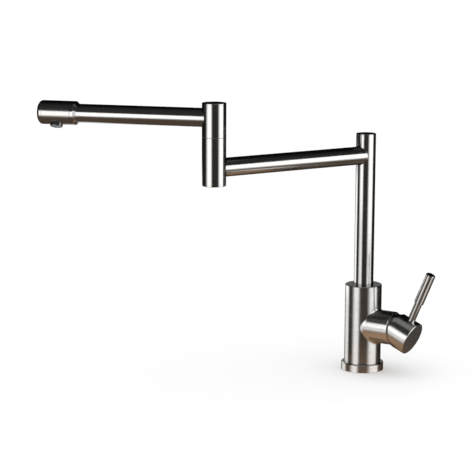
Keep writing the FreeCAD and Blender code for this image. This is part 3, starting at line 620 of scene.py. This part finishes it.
class TAP_OT_finish_inside(bpy.types.Operator):
    """Gives the bearings, seals, cartridge, block and fixings inside their materials"""

    bl_idname = "tap.finish_inside"
    bl_label = "Finish Inside"

    def execute(self, context):
        finishes = context.scene.tap_finishes
        turned_brass = Polish(finishes.brass_colour, 0.28, 0.02 * MM, 0.06, 1.5)
        turned_steel = Polish(finishes.steel_colour, 0.3, 0.02 * MM, 0.05, 1.5)
        dress(metal("turned_brass_body", turned_brass, tap_axis), "mixer_block", "riser_collar")
        dress(metal("turned_brass_nut", turned_brass, housing_axis), "bonnet_nut")
        dress(metal("turned_brass_spindle", turned_brass, knuckle_axis), "pivot_spindle")
        dress(metal("plain_steel_handle", turned_steel, handle_axis),
              "stem", "handle_grub_screw", "pivot_pin")
        dress(metal("plain_steel_knuckle", turned_steel, knuckle_axis), "knuckle_circlip")
        dress(metal("plain_steel_head", turned_steel, upper_arm_axis),
              "head_circlip", "aerator_screen")

        rubber = Moulding((0.025, 0.025, 0.026), 0.62, 6 * MM, 0.02 * MM)
        bearing = Moulding((0.80, 0.79, 0.75), 0.42, 8 * MM, 0.01 * MM)
        plastic = Moulding((0.17, 0.18, 0.20), 0.38, 8 * MM, 0.01 * MM)
        ceramic = Moulding((0.84, 0.83, 0.79), 0.12, 10 * MM, 0.002 * MM)
        dress(moulded("seal_rubber_black", rubber),
              "base_gasket", "flange_o_ring", "block_seals", "port_seals", "disc_seals",
              "riser_o_rings", "knuckle_o_rings", "head_o_ring", "aerator_gasket")
        dress(moulded("bearing_plastic_white", bearing),
              "riser_bush_lower", "riser_bush_upper", "riser_spacer", "knuckle_bush_lower",
              "knuckle_bush_upper", "knuckle_spacer", "knuckle_thrust_washer",
              "head_bush_front", "head_bush_rear")
        dress(moulded("valve_plastic_grey", plastic),
              "cartridge_base", "cartridge_sleeve", "carrier", "disc_driver", "screw_plug",
              "aerator_cage")
        dress(moulded("valve_ceramic_white", ceramic), "fixed_disc", "moving_disc")
        return {"FINISHED"}


class TAP_OT_weld_arms(bpy.types.Operator):
    """Adds the brazed seam at each end of the arms, and the hollow where the housing starts"""

    bl_idname = "tap.weld_arms"
    bl_label = "Weld Arms"

    def execute(self, context):
        finishes, welds, _ = settings()
        slot = "brushed_steel"
        brazed = Polish(scaled(finishes.steel_colour, SEAM_TONE), 0.3, 0.01 * MM, 0.08, 4.0)
        knuckle_end = Axis(
            Vector((elbow.x, elbow.y, lower_arm_height)), -lower_arm_axis.direction
        )
        upper_end = Axis(
            Vector((elbow.x, elbow.y, outlet_middle.z)), upper_arm_axis.direction
        )
        lower_seam = metal("brushed_steel_lower_seam", brazed, lower_arm_axis)
        upper_seam = metal("brushed_steel_upper_seam", brazed, upper_arm_axis)
        body_steel = bpy.data.materials["satin_steel_body"]
        saddle_fillet("weld_riser_arm", tap_axis, riser_radius, lower_arm_axis, arm_radius,
                      welds.riser_leg, (lower_seam, "riser", slot))
        saddle_fillet("weld_knuckle_lower_arm", knuckle_axis, knuckle_radius, knuckle_end,
                      arm_radius, welds.knuckle_leg, (lower_seam, "riser", slot))
        saddle_fillet("weld_knuckle_upper_arm", knuckle_axis, knuckle_radius, upper_end,
                      arm_radius, welds.knuckle_leg, (upper_seam, "upper_arm", slot))
        saddle_fillet("weld_body_housing", tap_axis, body_radius, housing_axis, housing_radius,
                      welds.housing_leg, (body_steel, "root", "satin_steel"))
        return {"FINISHED"}


# ---- Studio ----
FLOOR_HALF = 20.0
FLOOR_COLOUR = 0.8
CANOPY_RADIUS = 2.6
CANOPY_SIDES = 48
CANOPY_ROWS = 12
CANOPY_FRONT = 0.032  # glow on the camera's side
CANOPY_REAR = 0.004  # glow behind the tap
BOARD_HEIGHT = 0.5 * MM
BOARD_SIDES = 64
CEILING = 0.9  # height of the card over the base
CEILING_GLOW = 0.25
CEILING_LEFT, CEILING_RIGHT, CEILING_FRONT, CEILING_BACK = -0.10, 0.28, -0.42, 0.13
LAMP_ANGLE = math.radians(80)
LAMP_LEAN = (math.radians(8), math.radians(10), 0)
SENSOR_WIDTH = 36.0
Panel = collections.namedtuple(
    "Panel", "name bearings distance heights side_fades end_fades share"
)

# Bearings are in degrees about the riser, from +X towards +Y. Fades are shares of a panel's
# width at its two sides, and of its height at its foot and its head.
PANELS = (
    Panel("panel_left", (223, 281), 1.05, (0, 0.56), (0.48, 0.28), (0.03, 0.05), 1.0),
    Panel("panel_right", (-39, 37), 0.80, (0, 0.59), (0.4, 0.17), (0.02, 0.05), 1.0),
    Panel("panel_side", (142, 206), 0.42, (0, 0.24), (0.3, 0.3), (0.02, 0.3), 1.0),
    Panel("panel_rear", (106, 140), 0.45, (0, 0.28), (0.3, 0.3), (0.02, 0.3), 0.22),
)
PANEL_STEPS = 24
Patch = collections.namedtuple("Patch", "place radius colour")

# Painted pools of light on the board, one of them a small painted glint, as their middle, radius and
# colour.
PAINTED_LIGHT_PATCHES = (
    Patch((0.20, 0.45, 0), 0.38, (0.17, 0.145, 0.12)),
    Patch((-0.25, -1.20, 0), 0.60, (0.75, 0.72, 0.70)),
    Patch((0.78, 0.10, 0), 0.30, (0.55, 0.51, 0.48)),
    Patch((0.09, 0.09, 0), 0.10, (0.125, 0.112, 0.10)),
    Patch((0.21, -0.03, 0), 0.09, (0.90, 0.86, 0.82)),
    Patch((0.02, -0.04, 0), 0.14, (0.40, 0.255, 0.155)),
)


def stage_mesh(name, points, faces, material):
    mesh = bpy.data.meshes.new(name)
    mesh.from_pydata(points, [], faces)
    mesh.update()
    mesh.materials.append(material)
    card = bpy.data.objects.new(name, mesh)
    bpy.context.scene.collection.objects.link(card)
    return card


def rectangle(left, right, front, back, height):
    return [(left, front, height), (right, front, height),
            (right, back, height), (left, back, height)]


def circle(radius, sides, height):
    turns = [2 * math.pi * side / sides for side in range(sides)]
    return [(radius * math.cos(turn), radius * math.sin(turn), height) for turn in turns]


def only_in_reflections(card):
    card.visible_camera = False
    card.visible_diffuse = False
    card.visible_transmission = False
    card.visible_volume_scatter = False
    card.visible_shadow = False


def seen_directly(tree):
    """1 where the camera, a reflection or a view through glass meets the surface."""
    path = add(tree, "ShaderNodeLightPath").outputs
    seen = maths(tree, "MAXIMUM", path["Is Camera Ray"], path["Is Glossy Ray"])
    return maths(tree, "MAXIMUM", seen, path["Is Transmission Ray"])


def stage_material(name):
    """A material with an empty tree but for its output."""
    material = bpy.data.materials.new(name)
    material.use_nodes = True
    tree = material.node_tree
    tree.nodes.clear()
    return material, tree, add(tree, "ShaderNodeOutputMaterial").inputs["Surface"]


def build_floor():
    """A pale floor that keeps the shadow, and is open when seen from underneath."""
    material, tree, surface = stage_material("pale_floor")
    paint = add(tree, "ShaderNodeBsdfDiffuse", {"Color": (FLOOR_COLOUR,) * 3 + (1,)})
    lift = maths(tree, "MULTIPLY", seen_directly(tree), 1 - FLOOR_COLOUR)
    glow = add(tree, "ShaderNodeEmission", {"Strength": lift})
    lit = add(tree, "ShaderNodeAddShader", {0: paint.outputs[0], 1: glow.outputs[0]})
    under = add(tree, "ShaderNodeNewGeometry").outputs["Backfacing"]
    clear = add(tree, "ShaderNodeBsdfTransparent")
    mixed = add(tree, "ShaderNodeMixShader", {0: under, 1: lit.outputs[0], 2: clear.outputs[0]})
    tree.links.new(mixed.outputs[0], surface)
    span = (-FLOOR_HALF, FLOOR_HALF, -FLOOR_HALF, FLOOR_HALF)
    stage_mesh("floor", rectangle(*span, 0), [(0, 1, 2, 3)], material)


def build_world(strength):
    """White where it is seen, and an even soft light everywhere else."""
    world = bpy.data.worlds.new("studio")
    world.use_nodes = True
    world.cycles.sampling_method = "NONE"
    tree = world.node_tree
    tree.nodes.clear()
    level_of_light = spread(tree, seen_directly(tree), 0, 1, strength, 1)
    light = add(tree, "ShaderNodeBackground",
                {"Color": (1, 1, 1, 1), "Strength": level_of_light})
    output = add(tree, "ShaderNodeOutputWorld")
    tree.links.new(light.outputs[0], output.inputs["Surface"])
    bpy.context.scene.world = world


def build_panel(panel, strength):
    """A bright curved card that stands round the riser and fades out towards its sides."""
    material, tree, surface = stage_material(panel.name + "_light")
    place = add(tree, "ShaderNodeTexCoord").outputs["UV"]
    split = add(tree, "ShaderNodeSeparateXYZ", {0: place}).outputs
    faded = strength * panel.share
    for along, fades in ((split["X"], panel.side_fades), (split["Y"], panel.end_fades)):
        rising = spread(tree, along, 0, fades[0], 0, 1, smooth=True)
        falling = spread(tree, along, 1 - fades[1], 1, 1, 0, smooth=True)
        faded = maths(tree, "MULTIPLY", maths(tree, "MULTIPLY", rising, falling), faded)
    glow = add(tree, "ShaderNodeEmission", {"Strength": faded})
    tree.links.new(glow.outputs[0], surface)

    shares = [step / PANEL_STEPS for step in range(PANEL_STEPS + 1)]
    first, last = (math.radians(bearing) for bearing in panel.bearings)
    points = []
    places = []
    for rise, height in enumerate(panel.heights):
        for share in shares:
            bearing = first + (last - first) * share
            points.append((panel.distance * math.cos(bearing),
                           panel.distance * math.sin(bearing), height))
            places.append((share, rise))
    row = len(shares)
    faces = [(step, step + 1, row + step + 1, row + step) for step in range(PANEL_STEPS)]
    card = stage_mesh(panel.name, points, faces, material)
    layer = card.data.uv_layers.new(name="card")
    for loop in card.data.loops:
        layer.data[loop.index].uv = places[loop.vertex_index]
    only_in_reflections(card)


def build_canopy(view_direction):
    """A dark tent round the studio, blacker behind the tap than on the camera's side."""
    material, tree, surface = stage_material("dark_canopy")
    place = add(tree, "ShaderNodeTexCoord").outputs["Object"]
    depth = vectors(tree, "DOT_PRODUCT", place, view_direction)
    shade = spread(tree, depth, -0.4 * CANOPY_RADIUS, 0.2 * CANOPY_RADIUS,
                   CANOPY_FRONT, CANOPY_REAR)
    glow = add(tree, "ShaderNodeEmission", {"Strength": shade})
    tree.links.new(glow.outputs[0], surface)
    points = []
    for row in range(CANOPY_ROWS + 1):
        rise = math.pi / 2 * row / CANOPY_ROWS
        points += circle(CANOPY_RADIUS * math.cos(rise), CANOPY_SIDES,
                         CANOPY_RADIUS * math.sin(rise))
    faces = []
    for here in range(0, CANOPY_ROWS * CANOPY_SIDES, CANOPY_SIDES):
        above = here + CANOPY_SIDES
        for side in range(CANOPY_SIDES):
            following = (side + 1) % CANOPY_SIDES
            faces.append((here + side, here + following, above + following, above + side))
    only_in_reflections(stage_mesh("canopy", points, faces, material))


def build_ceiling_card():
    """A small dim card over the base, which greys the top of the housing and the handle."""
    material, tree, surface = stage_material("ceiling_card_light")
    glow = add(tree, "ShaderNodeEmission", {"Strength": CEILING_GLOW})
    tree.links.new(glow.outputs[0], surface)
    points = rectangle(CEILING_LEFT, CEILING_RIGHT, CEILING_FRONT, CEILING_BACK, CEILING)
    only_in_reflections(stage_mesh("ceiling_card", points, [(0, 1, 2, 3)], material))


def build_board(studio):
    """A varnished brown board under the tap, which glows with its colour and shows in the undersides
    of the metal.
    """
    material, tree, surface = stage_material("varnished_board")
    place = add(tree, "ShaderNodeTexCoord").outputs["Object"]
    board_glow = tuple(studio.board_colour)
    # The board's colour and its patches are painted light: the board glows with its colour, and the
    # patches paint pools of light and a glint on it.
    for patch in PAINTED_LIGHT_PATCHES:
        distance = vectors(tree, "LENGTH", vectors(tree, "SUBTRACT", place, patch.place))
        near = spread(tree, distance, 0.15 * patch.radius, patch.radius, 1, 0, smooth=True)
        board_glow = blend(tree, near, board_glow, patch.colour)
    glow = add(tree, "ShaderNodeEmission", {"Color": board_glow})
    varnish = add(tree, "ShaderNodeBsdfGlossy", {"Roughness": 0.05})

    # The varnish mirrors the panels at a slant, and hardly at all where it is nearly edge on.
    facing = add(tree, "ShaderNodeLayerWeight", {"Blend": 0.5}).outputs["Facing"]
    shine = maths(tree, "MULTIPLY", spread(tree, facing, 0.5, 0.8, 0, 0.95),
                  spread(tree, facing, 0.85, 0.93, 1, 0.1))
    mixed = add(tree, "ShaderNodeMixShader",
                {0: shine, 1: glow.outputs[0], 2: varnish.outputs[0]})
    tree.links.new(mixed.outputs[0], surface)
    points = circle(CANOPY_RADIUS, BOARD_SIDES, BOARD_HEIGHT)
    only_in_reflections(stage_mesh("board", points, [tuple(range(BOARD_SIDES))], material))


def build_top_lamp(strength):
    lamp = bpy.data.lights.new("top_light", "SUN")
    lamp.angle = LAMP_ANGLE
    lamp.energy = strength
    holder = bpy.data.objects.new("top_light", lamp)
    holder.rotation_euler = LAMP_LEAN
    holder.visible_glossy = False
    bpy.context.scene.collection.objects.link(holder)


def build_camera(studio):
    turn, dip, roll = studio.camera_turn, studio.camera_dip, studio.camera_roll
    forward = Vector((-math.sin(turn) * math.cos(dip), math.cos(turn) * math.cos(dip),
                      -math.sin(dip)))
    level_right = Vector((math.cos(turn), math.sin(turn), 0))
    level_up = level_right.cross(forward)
    right = level_right * math.cos(roll) + level_up * math.sin(roll)
    upright = level_up * math.cos(roll) - level_right * math.sin(roll)
    lens = bpy.data.cameras.new("camera")
    lens.sensor_width = SENSOR_WIDTH
    lens.lens = studio.focal_length
    camera = bpy.data.objects.new("camera", lens)
    camera.matrix_world = Matrix.Translation(studio.camera_place) @ Matrix(
        (right, upright, -forward)
    ).transposed().to_4x4()
    bpy.context.scene.collection.objects.link(camera)
    bpy.context.scene.camera = camera
    return forward


class TAP_OT_build_studio(bpy.types.Operator):
    """Builds the pale floor, the soft light, the cards that the metal mirrors and the camera"""

    bl_idname = "tap.build_studio"
    bl_label = "Build Studio"

    def execute(self, context):
        studio = context.scene.tap_studio
        build_world(studio.ambient)
        build_floor()
        build_top_lamp(studio.top_strength)
        forward = build_camera(studio)
        for panel in PANELS:
            build_panel(panel, studio.panel_strength)
        build_canopy(forward)
        build_ceiling_card()
        build_board(studio)
        context.scene.view_settings.view_transform = "Standard"
        return {"FINISHED"}


class TAP_PT_sidebar(bpy.types.Panel):
    """The tap's steps in the sidebar, in the order that they run"""

    bl_idname = "TAP_PT_sidebar"
    bl_label = "Folding Spout Tap"
    bl_space_type = "VIEW_3D"
    bl_region_type = "UI"
    bl_category = "Tap"

    def draw(self, context):
        for operator in OPERATORS:
            self.layout.operator(operator.bl_idname)
        for group in (context.scene.tap_finishes, context.scene.tap_welds,
                      context.scene.tap_studio):
            box = self.layout.box()
            for name in group.__annotations__:
                box.prop(group, name)


OPERATORS = (
    TAP_OT_finish_body,
    TAP_OT_finish_handle,
    TAP_OT_finish_spout,
    TAP_OT_finish_inside,
    TAP_OT_weld_arms,
    TAP_OT_build_studio,
)
GROUPS = {"tap_finishes": TapFinishes, "tap_welds": TapWelds, "tap_studio": TapStudio}


def register():
    for name, group in GROUPS.items():
        bpy.utils.register_class(group)
        setattr(bpy.types.Scene, name, bpy.props.PointerProperty(type=group))
    for operator in OPERATORS:
        bpy.utils.register_class(operator)
    bpy.utils.register_class(TAP_PT_sidebar)


def unregister():
    bpy.utils.unregister_class(TAP_PT_sidebar)
    for operator in reversed(OPERATORS):
        bpy.utils.unregister_class(operator)
    for name, group in reversed(GROUPS.items()):
        delattr(bpy.types.Scene, name)
        bpy.utils.unregister_class(group)


def main():
    register()
    bpy.ops.tap.finish_body()
    bpy.ops.tap.finish_handle()
    bpy.ops.tap.finish_spout()
    bpy.ops.tap.finish_inside()
    bpy.ops.tap.weld_arms()
    bpy.ops.tap.build_studio()
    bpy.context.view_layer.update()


if __name__ == "__main__":
    main()
